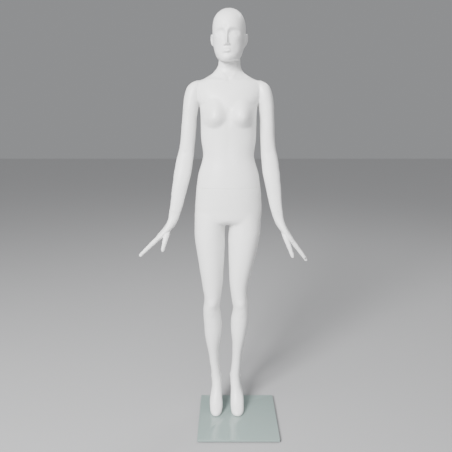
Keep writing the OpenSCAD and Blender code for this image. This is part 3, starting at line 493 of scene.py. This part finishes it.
def turned(x, y, z):
    """the head looks six degrees to the figure's right; the turn fades out down the neck"""
    a = -head_turn * np.clip((z - bond_height) / 30, 0, 1)
    dx, dy = x - head_middle, y - 15
    return head_middle + dx * np.cos(a) - dy * np.sin(a), 15 + dx * np.sin(a) + dy * np.cos(a)


def head_surface(turn, rise):
    z = np.where(rise < 0.85, 1530 + rise / 0.85 * 232, 1762 + 30 * np.sin((rise - 0.85) / 0.15 * math.pi / 2))
    r = smooth_between(SKULL, z)
    squareness = 2.2 - 0.35 * swell(0 * z, (z - 1605) / 28)
    x, y = soft_section(turn, r[:, 1], r[:, 2], r[:, 3], r[:, 4], 0, squareness)
    # the jaw slopes: the chin hangs lower than the back of the skull
    t = np.clip((z - bond_height) / 40, 0, 1)
    slope = 0.30 * t * t * (3 - 2 * t) * np.clip((1720 - z) / 110, 0, 1)
    height = z + slope * (y - 30)
    shift = head_middle + (middle - head_middle) * np.clip((1585 - z) / 40, 0, 1)
    y = y - face(x, height) * np.clip((r[:, 2] - 12 - y) / 30, 0, 1) * np.clip((z - 1597) / 8, 0, 1)
    x, y = turned(x + shift, y, z)
    return x / 1000, y / 1000, height / 1000 + glass_top


head = wrapped_sheet("head", 230, 230, head_surface)
ears = []
for side in (-1, 1):
    parts = []
    # bowl, rolled rim, lobe and the small flap over the ear hole
    for kind, place, size in (("ball", (1, 1, 0), (5, 14, 26)), ("ring", (4.5, 1, 4), (3.0, 1, 1.28)),
                              ("ball", (1.5, -5, -21), (3.8, 7, 11)), ("ball", (5.5, -9, -3), (3.5, 4, 5)),
                              ("ring", (3.2, -1, 2), (2.2, 0.5, 0.75))):
        if kind == "ball":
            bpy.ops.mesh.primitive_uv_sphere_add(segments=32, ring_count=20, radius=1)
            bpy.context.object.scale = [v / 1000 for v in size]
        else:
            bpy.ops.mesh.primitive_torus_add(major_radius=0.0155, minor_radius=0.0029, major_segments=48,
                                             minor_segments=12, rotation=(0, math.radians(90), 0))
            bpy.context.object.scale = (size[2], size[1], 1)
        bpy.context.object.location = [v / 1000 for v in place]
        parts.append(bpy.context.object)
    bpy.ops.object.select_all(action="DESELECT")
    for p in parts:
        p.select_set(True)
    bpy.ops.object.join()
    ear = bpy.context.object
    bpy.ops.object.transform_apply(location=True, rotation=True, scale=True)
    if side < 0:
        ear.scale.x = -1
    ear.rotation_euler = (math.radians(-11), side * math.radians(6), side * math.radians(-17))
    ear.location = ((head_middle + side * 65.6) / 1000, 0.0145 - side * 0.0068, 1.667 + glass_top)
    bpy.ops.object.transform_apply(location=True, rotation=True, scale=True)
    bpy.ops.object.mode_set(mode="EDIT")
    bpy.ops.mesh.select_all(action="SELECT")
    bpy.ops.mesh.normals_make_consistent(inside=False)
    bpy.ops.object.mode_set(mode="OBJECT")
    ears.append(ear)
head = grown_together([head] + ears, "head", 0.00165, 3)
# the bond: head and torso meet on one level cut, filled and sanded until it can't be seen
bond = bond_height / 1000 + glass_top
flat_cut(head, (0, 0, bond), (0, 0, -1), lambda x, y, z: z < 1600, rim=0, merge=0.0005)
flat_cut(torso, (0, 0, bond), (0, 0, 1), lambda x, y, z: z > 1500, rim=0, merge=0.0005)
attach(head, "torso")
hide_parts("head_shell")
pick(head)
bpy.ops.object.shade_smooth_by_angle(angle=math.radians(40))
head.data.materials.append(enamel)
pick(torso)
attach(torso, "torso")
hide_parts("torso_shell")
bpy.ops.object.shade_smooth_by_angle(angle=math.radians(35))
torso.data.materials.append(enamel)

# Hands: cast with the fingers together and straight, in one piece down from the wrist seam.
# Palm, four fingers and thumb are wrapped round their own bones and grown together.
# [distance from the wrist seam, half thickness, front y, back y] of the palm
PALM = [[-14, 24.4, -48, -14], [0, 24.4, -48, -14], [20, 22.5, -49, -13], [40, 20.5, -53, -9],
        [60, 19, -59, -3], [80, 17.5, -65, 4], [100, 16, -70, 9], [120, 14.5, -72, 12],
        [140, 12.5, -71, 12], [152, 9, -67, 8], [158, 3, -50, -8]]
# [y at the knuckle, y at the tip, distance of the tip, half width at the knuckle, at the tip, sideways lean]
FINGERS = [[-61, -52, 247, 10.6, 7.0, 2.5], [-40.5, -37, 265, 10.8, 7.2, 1.5],
           [-20, -22, 253, 10.5, 7.0, 1.0], [-1.0, -8.5, 227, 9.4, 6.2, 0.0]]
THUMB = [[0, 10], [20, 13], [45, 12.5], [70, 10.5], [95, 9], [115, 8], [123, 5.5], [127.5, 1]]


def bone_line(flare):
    """x, z and angle of the hand's middle line for each millimetre from the wrist"""
    s = np.arange(-20, 290.0)
    u = np.clip(s / 115, 0, 1)
    a = wrist_tilt + (math.radians(flare) - wrist_tilt) * u * u * (3 - 2 * u)
    x = np.concatenate([[0], np.cumsum(np.sin((a[1:] + a[:-1]) / 2))])
    z = np.concatenate([[0], np.cumsum(-np.cos((a[1:] + a[:-1]) / 2))])
    return s, x - x[20], z - z[20], a


for side, name, flare, splay, lean, reach in ((-1, "right", 46, right_splay, 14, 0.76),
                                               (1, "left", 37, left_splay, 20, 1)):
    bone_s, bone_x, bone_z, bone_a = bone_line(flare)
    wrist_x = wrist_across(splay)

    def laid(s, u, y):
        """a point at the distance s along the hand, u out from its middle line"""
        a = np.interp(s, bone_s, bone_a)
        x = wrist_x + np.interp(s, bone_s, bone_x) + u * np.cos(a)
        z = wrist_height + np.interp(s, bone_s, bone_z) + u * np.sin(a)
        return (middle + side * x) / 1000, y / 1000, z / 1000 + glass_top

    def palm_surface(turn, rise):
        s = -14 + rise * 172
        r = smooth_between(PALM, s)
        u, y = soft_section(turn, r[:, 1], (r[:, 2] + r[:, 3]) / 2, r[:, 2], r[:, 3], 0, 2.25)
        hollow = 4.0 * swell((y + 30) / 26, (s - 95) / 42)
        back = 1.5 * ridge(((y + 61) % 20.3) - 10, 3.4) * swell(0 * s, (s - 118) / 34)
        u = u + np.where(u < 0, hollow, -back)
        return laid(s, u, y)

    pieces = [wrapped_sheet("palm", 72, 90, palm_surface)]
    for knuckle_y, tip_y, tip, wide, thin, off in FINGERS:
        def finger_surface(turn, rise):
            t = np.where(rise < 0.9, rise / 0.9 * 0.955,
                         0.955 + 0.045 * np.sin((rise - 0.9) / 0.1 * math.pi / 2))
            s = 118 + t * (tip - 118)
            half = wide + (thin - wide) * t
            for joint, more in ((0.10, 0.6), (0.42, 0.7), (0.72, 0.6)):
                half = half + more * np.exp(-((t - joint) / 0.06) ** 2)
            end = np.clip((s - (tip - 9)) / 9, 0, 1)
            half = half * np.sqrt(np.clip(1 - end ** 2, 0.0005, 1))
            u, y = soft_section(turn, half * 1.04, 0 * s, -half, half, 0, 2.05)
            nail = (u > 0) & (s > tip - 15) & (s < tip - 2)
            u = u - np.where(nail, 0.5 * ridge(y, half * 0.8) + 0.3, 0)
            u = u + off * t - 1.5 * t * t
            return laid(s, u, y + knuckle_y + (tip_y - knuckle_y) * t)
        pieces.append(wrapped_sheet("finger", 28, 110, finger_surface))

    def thumb_surface(turn, rise):
        t = np.where(rise < 0.88, rise / 0.88 * 119, 119 + 8.5 * np.sin((rise - 0.88) / 0.12 * math.pi / 2))
        half = smooth_between(THUMB, t)[:, 1] + 0.8 * np.exp(-((t - 72) / 8) ** 2)
        u, v = soft_section(turn, half * 0.94, 0 * t, -half, half, 0, 2.05)
        a = math.radians(lean)
        x = wrist_x + np.interp(86, bone_s, bone_x) + math.sin(a) * t * reach - 4 + u * math.cos(a)
        z = wrist_height + np.interp(86, bone_s, bone_z) - math.cos(a) * t * reach + u * math.sin(a)
        y = -46 - 34 * np.sin(np.radians(np.minimum(90, t * 0.75))) + v
        return (middle + side * x) / 1000, y / 1000, z / 1000 + glass_top

    pieces.append(wrapped_sheet("thumb", 36, 90, thumb_surface))
    hand = grown_together(pieces, name + "_palm_and_fingers", 0.00135, 3)
    tilt_up = (-side * math.sin(wrist_tilt), 0, math.cos(wrist_tilt))
    wrist = ((middle + side * wrist_x) / 1000, wrist_y, (wrist_height - 0.4) / 1000 + glass_top)
    flat_cut(hand, wrist, tilt_up, lambda x, y, z: z > 900, merge=0.0006)
    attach(hand, "hand_" + name)
    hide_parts("hand_" + name)
    bpy.ops.object.shade_smooth_by_angle(angle=math.radians(50))
    hand.data.materials.append(enamel)

# Glass plate: one square of toughened glass with a satin underside, a polished top and edges, ground corners
# and a hole for the spigot's bolt. Its pale grey green colour is partly the glass's own tint and partly painted
# reflection.
# the grey green base colour holds the glass's own tint plus painted reflection of bright surroundings, so the
# plate looks pale over any floor
glass, tree, shader = plain_finish("toughened_glass", (0.27, 0.35, 0.33), 0.42)
shader.inputs["Transmission Weight"].default_value = 0.22
shader.inputs["IOR"].default_value = 1.52
shader.inputs["Coat Weight"].default_value = 1.0
shader.inputs["Coat Roughness"].default_value = 0.06
shader.inputs["Coat IOR"].default_value = 1.6
low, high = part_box("glass_plate")
bpy.ops.mesh.primitive_cube_add(size=1, location=(low + high) / 2)
plate = bpy.context.object
plate.name = "glass_square"
plate.scale = high - low
bpy.ops.object.transform_apply(location=True, rotation=True, scale=True)
hole_radius, corner_radius, edge_polish = 0.007, 0.004, 0.0009
bpy.ops.mesh.primitive_cylinder_add(vertices=96, radius=hole_radius, depth=0.1, location=(0, 0, glass_top))
drill = bpy.context.object


def bevelled(piece, amount, angle, segments):
    """rounds the piece's edges that are sharper than the angle"""
    pick(piece)
    bpy.ops.object.mode_set(mode="EDIT")
    bpy.ops.mesh.select_mode(type="EDGE")
    bpy.ops.mesh.select_all(action="DESELECT")
    bpy.ops.mesh.edges_select_sharp(sharpness=math.radians(angle))
    bpy.ops.mesh.bevel(offset=amount, offset_type="OFFSET", segments=segments, affect="EDGES")
    bpy.ops.object.mode_set(mode="OBJECT")


# the corners are ground round, so the four upright edges are picked
pick(plate)
bpy.ops.object.mode_set(mode="EDIT")
bpy.ops.mesh.select_mode(type="EDGE")
bpy.ops.object.mode_set(mode="OBJECT")
for edge in plate.data.edges:
    a, b = (plate.data.vertices[i] for i in edge.vertices)
    edge.select = abs(a.co.z - b.co.z) > 0.001
bpy.ops.object.mode_set(mode="EDIT")
bpy.ops.mesh.bevel(offset=corner_radius, offset_type="OFFSET", segments=10, affect="EDGES")
bpy.ops.object.mode_set(mode="OBJECT")
bore = plate.modifiers.new("bore", "BOOLEAN")
bore.operation = "DIFFERENCE"
bore.object = drill
bpy.ops.object.modifier_apply(modifier="bore")
bpy.data.objects.remove(drill)
bevelled(plate, edge_polish, 50, 3)
bpy.ops.object.shade_smooth_by_angle(angle=math.radians(30))
plate.data.materials.append(glass)
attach(plate, "base")
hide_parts("glass_plate")

# Spigot and its clamp: a turned steel flange with a hub, the chromed rod that enters the foot,
# the rubber washer on the glass, the nylon bush in the hole, the disc and bolt under the glass.
steel_look, steel_coords, steel_out = effect_group("turned_steel", (("Roughness", "NodeSocketFloat"),
                                                                    ("Normal", "NodeSocketVector")))
steel_place = steel_coords.outputs["Object"]
steel_look.links.new(fine_noise(steel_look, steel_place, 60, 5, 0.22, 0.42), steel_out.inputs["Roughness"])
grain = steel_look.nodes.new("ShaderNodeBump")
grain.inputs["Strength"].default_value = 0.15
grain.inputs["Distance"].default_value = 0.0001
steel_look.links.new(fine_noise(steel_look, steel_place, 900, 2, 0, 1), grain.inputs["Height"])
steel_look.links.new(grain.outputs["Normal"], steel_out.inputs["Normal"])


def metal_finish(name, colour):
    material, tree, shader = plain_finish(name, colour, 0.3, 1.0)
    look = tree.nodes.new("ShaderNodeGroup")
    look.node_tree = steel_look
    tree.links.new(look.outputs["Roughness"], shader.inputs["Roughness"])
    tree.links.new(look.outputs["Normal"], shader.inputs["Normal"])
    return material


steel = metal_finish("steel", (0.56, 0.56, 0.57))
zinc = metal_finish("zinc_plate", (0.68, 0.70, 0.73))
rubber = plain_finish("black_rubber", (0.022, 0.022, 0.024), 0.72)[0]
nylon = plain_finish("white_nylon", (0.78, 0.77, 0.73), 0.45)[0]
pad_finish, tree, shader = plain_finish("clear_pvc", (0.82, 0.85, 0.84), 0.28)
shader.inputs["Transmission Weight"].default_value = 0.75
shader.inputs["IOR"].default_value = 1.47


def stepped_disc(name, start, steps, centre=(0, 0), edge=0.0004, bottom=1.0):
    """a round piece built up from its lowest face: each step is [radius, height] in metres"""
    radius, height = steps[0]
    bpy.ops.mesh.primitive_cylinder_add(vertices=96, radius=radius, depth=height,
                                        location=(centre[0], centre[1], start + height / 2))
    piece = bpy.context.object
    piece.name = name
    bpy.ops.object.transform_apply(location=True, rotation=True, scale=True)
    for next_radius, next_height in steps[1:]:
        top = max(piece.data.polygons, key=lambda f: f.center.z).index
        pick(piece)
        piece.data.polygons[top].select = True
        bpy.ops.object.mode_set(mode="EDIT")
        bpy.ops.mesh.select_mode(type="FACE")
        bpy.ops.mesh.inset(thickness=radius - next_radius, depth=0)
        bpy.ops.mesh.extrude_region_move(TRANSFORM_OT_translate={"value": (0, 0, next_height)})
        bpy.ops.object.mode_set(mode="OBJECT")
        radius = next_radius
    if bottom != 1.0:
        low_face = min(piece.data.polygons, key=lambda f: f.center.z).index
        pick(piece)
        piece.data.polygons[low_face].select = True
        bpy.ops.object.mode_set(mode="EDIT")
        bpy.ops.mesh.select_mode(type="FACE")
        bpy.ops.transform.resize(value=(bottom, bottom, 1), center_override=(centre[0], centre[1], start))
        bpy.ops.object.mode_set(mode="OBJECT")
    bevelled(piece, edge, 45, 3)
    bpy.ops.object.shade_smooth_by_angle(angle=math.radians(35))
    return piece


def radius_of(node):
    low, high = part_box(node)
    return (high.x - low.x) / 2


def finish_piece(piece, node, body, material):
    piece.data.materials.append(material)
    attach(piece, body)
    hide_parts(node)


flange_thick, hub_radius = 0.004, 0.0101
low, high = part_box("spigot_flange")
flange = stepped_disc("flange", low.z, [[radius_of("spigot_flange"), flange_thick],
                                        [hub_radius, high.z - low.z - flange_thick]])
finish_piece(flange, "spigot_flange", "base", steel)
low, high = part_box("spigot_rod")
rod = stepped_disc("rod", low.z, [[radius_of("spigot_rod"), high.z - low.z]], edge=0.0012)
finish_piece(rod, "spigot_rod", "base", steel)
low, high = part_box("glass_washer")
washer = stepped_disc("washer", low.z, [[radius_of("glass_washer"), high.z - low.z]], edge=0.0003)
finish_piece(washer, "glass_washer", "base", rubber)
low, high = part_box("glass_bush")
bush = stepped_disc("bush", low.z, [[radius_of("glass_bush") - 0.00005, high.z - low.z]], edge=0.0003)
finish_piece(bush, "glass_bush", "base", nylon)
low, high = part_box("clamp_disc")
disc = stepped_disc("under_disc", low.z, [[radius_of("clamp_disc"), high.z - low.z]], edge=0.0004)
finish_piece(disc, "clamp_disc", "base", steel)
low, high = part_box("bolt_cover")
cover = stepped_disc("bolt_cap", low.z, [[radius_of("bolt_cover"), high.z - low.z]], edge=0.0006)
finish_piece(cover, "bolt_cover", "base", rubber)

# Floor pads: four clear soft PVC bumpers, wider at the glass, stuck near the corners.
pad_radius, pad_foot = 0.011, 0.009
low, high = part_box("floor_pads")
for i, (x, y) in enumerate(((low.x, low.y), (high.x, low.y), (low.x, high.y), (high.x, high.y))):
    centre = (x + (pad_radius if x == low.x else -pad_radius), y + (pad_radius if y == low.y else -pad_radius))
    pad = stepped_disc("pad_%d" % (i + 1), low.z, [[pad_radius, high.z - low.z]], centre,
                       edge=0.0006, bottom=pad_foot / pad_radius)
    finish_piece(pad, "floor_pads", "base", pad_finish)

# Hidden fittings: the plywood boards, the square waist post and its socket, the shoulder and
# wrist fittings and all screws keep the shapes they were designed with, and only take a finish.
ply, tree, shader = plain_finish("birch_ply", (0.62, 0.45, 0.28), 0.62)
stretch = tree.nodes.new("ShaderNodeMapping")
stretch.inputs["Scale"].default_value = (6, 60, 60)
tree.links.new(tree.nodes.new("ShaderNodeTexCoord").outputs["Object"], stretch.inputs["Vector"])
board_tint = tree.nodes.new("ShaderNodeMixRGB")
board_tint.inputs["Color1"].default_value = (0.70, 0.53, 0.34, 1)
board_tint.inputs["Color2"].default_value = (0.47, 0.31, 0.17, 1)
tree.links.new(fine_noise(tree, stretch.outputs["Vector"], 2.2, 8, 0, 1), board_tint.inputs["Fac"])
tree.links.new(board_tint.outputs["Color"], shader.inputs["Base Color"])
boards = ("torso_board", "hip_board", "wrist_plug_right", "wrist_plug_left")
steel_fittings = ("waist_post_plate", "waist_socket", "shoulder_socket_right", "shoulder_socket_left",
                  "arm_spindle_right", "arm_spindle_left", "wrist_stud_right", "wrist_stud_left", "foot_socket")
screws = ("torso_plate_screws", "hip_plate_screws", "shoulder_screws", "arm_screws_right", "arm_screws_left",
          "foot_lock_screw", "clamp_bolt")
for material, names in ((ply, boards), (steel, steel_fittings), (zinc, screws)):
    for name in names:
        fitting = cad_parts[name]
        fitting.data.materials.clear()
        fitting.data.materials.append(material)
        pick(fitting)
        bpy.ops.object.shade_smooth_by_angle(angle=math.radians(30))

# Room: a plain pale floor, an even pale light all round, three soft lamps and one broad ceiling
# light. It is a stage for the figure and no part of it.
bpy.ops.mesh.primitive_plane_add(size=40)
floor = bpy.context.object
floor.name = "floor"
floor.data.materials.append(plain_finish("pale_floor", (0.34, 0.34, 0.345), 0.8)[0])
room = bpy.data.worlds.new("room")
bpy.context.scene.world = room
room.use_nodes = True
room.node_tree.nodes["Background"].inputs["Color"].default_value = (0.36, 0.365, 0.375, 1)
room.node_tree.nodes["Background"].inputs["Strength"].default_value = 0.8
for kind, name, place, tilt, size, power in (("AREA", "key", (-1.9, -3.4, 2.9), (55, 0, -29), 1.6, 540),
                                             ("AREA", "fill", (3.0, -2.6, 2.0), (66, 0, 49), 2.6, 30),
                                             ("AREA", "back", (1.8, 2.2, 4.0), (-38, 0, -38), 1.4, 60),
                                             ("SUN", "ceiling", (0, 0, 5), (28, -14, 0), 0.9, 1.35)):
    bpy.ops.object.light_add(type=kind, location=place, rotation=[math.radians(a) for a in tilt])
    lamp = bpy.context.object
    lamp.name = name
    lamp.data.energy = power
    if kind == "AREA":
        lamp.data.size = size
    else:
        lamp.data.angle = size
bpy.ops.object.camera_add(location=(-0.054, -2.108, glass_top + 1.304), rotation=(math.radians(78.6), 0, 0))
bpy.context.object.data.lens = 38.23
bpy.context.scene.camera = bpy.context.object
